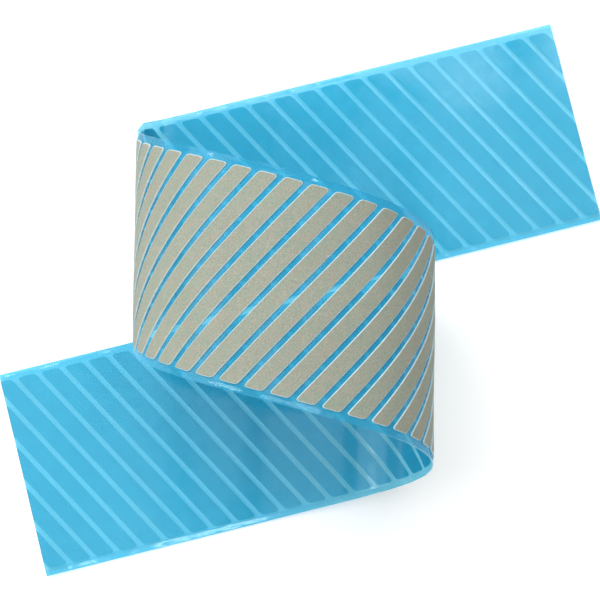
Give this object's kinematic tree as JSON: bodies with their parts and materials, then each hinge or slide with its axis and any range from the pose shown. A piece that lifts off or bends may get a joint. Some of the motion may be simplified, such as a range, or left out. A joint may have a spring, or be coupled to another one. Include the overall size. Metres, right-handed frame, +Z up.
{
  "type": "segmented grip tape",
  "caption": "Loose length of clear glossy film tape with a row of slanted matte grip segments on its outer face, lying flat at both ends and bent into one helical loop between them",
  "frame": {"origin": "Centre of the tape's footprint on the table", "axes": "+Z up; +X along the loop's circumference direction, towards the upper tail's cut end; +Y along the loop's axis"},
  "size_m": [0.1488, 0.1384, 0.0555],
  "materials": {
    "blue_film": "clear glossy film",
    "grip_pad": "fine grained matte"
  },
  "bodies": {
    "root": {"carrier_film": "blue_film", "grip_segment_01": "grip_pad", "grip_segment_02": "grip_pad", "grip_segment_03": "grip_pad", "grip_segment_04": "grip_pad", "grip_segment_05": "grip_pad", "grip_segment_06": "grip_pad", "grip_segment_07": "grip_pad", "grip_segment_08": "grip_pad", "grip_segment_09": "grip_pad", "grip_segment_10": "grip_pad", "grip_segment_11": "grip_pad", "grip_segment_12": "grip_pad", "grip_segment_13": "grip_pad", "grip_segment_14": "grip_pad", "grip_segment_15": "grip_pad", "grip_segment_16": "grip_pad", "grip_segment_17": "grip_pad", "grip_segment_18": "grip_pad", "grip_segment_19": "grip_pad", "grip_segment_20": "grip_pad", "grip_segment_21": "grip_pad", "grip_segment_22": "grip_pad", "grip_segment_23": "grip_pad", "grip_segment_24": "grip_pad", "grip_segment_25": "grip_pad", "grip_segment_26": "grip_pad", "grip_segment_27": "grip_pad", "grip_segment_28": "grip_pad", "grip_segment_29": "grip_pad", "grip_segment_30": "grip_pad", "grip_segment_31": "grip_pad", "grip_segment_32": "grip_pad", "grip_segment_33": "grip_pad", "grip_segment_34": "grip_pad", "grip_segment_35": "grip_pad", "grip_segment_36": "grip_pad", "grip_segment_37": "grip_pad", "grip_segment_38": "grip_pad", "grip_segment_39": "grip_pad", "grip_segment_40": "grip_pad", "grip_segment_41": "grip_pad", "grip_segment_42": "grip_pad", "grip_segment_43": "grip_pad", "grip_segment_44": "grip_pad", "grip_segment_45": "grip_pad", "grip_segment_46": "grip_pad", "grip_segment_47": "grip_pad", "grip_segment_48": "grip_pad", "grip_segment_49": "grip_pad", "grip_segment_50": "grip_pad", "grip_segment_51": "grip_pad", "grip_segment_52": "grip_pad", "grip_segment_53": "grip_pad", "grip_segment_54": "grip_pad", "lower_end_segments": "grip_pad", "upper_end_segments": "grip_pad"}
  },
  "joints": []
}
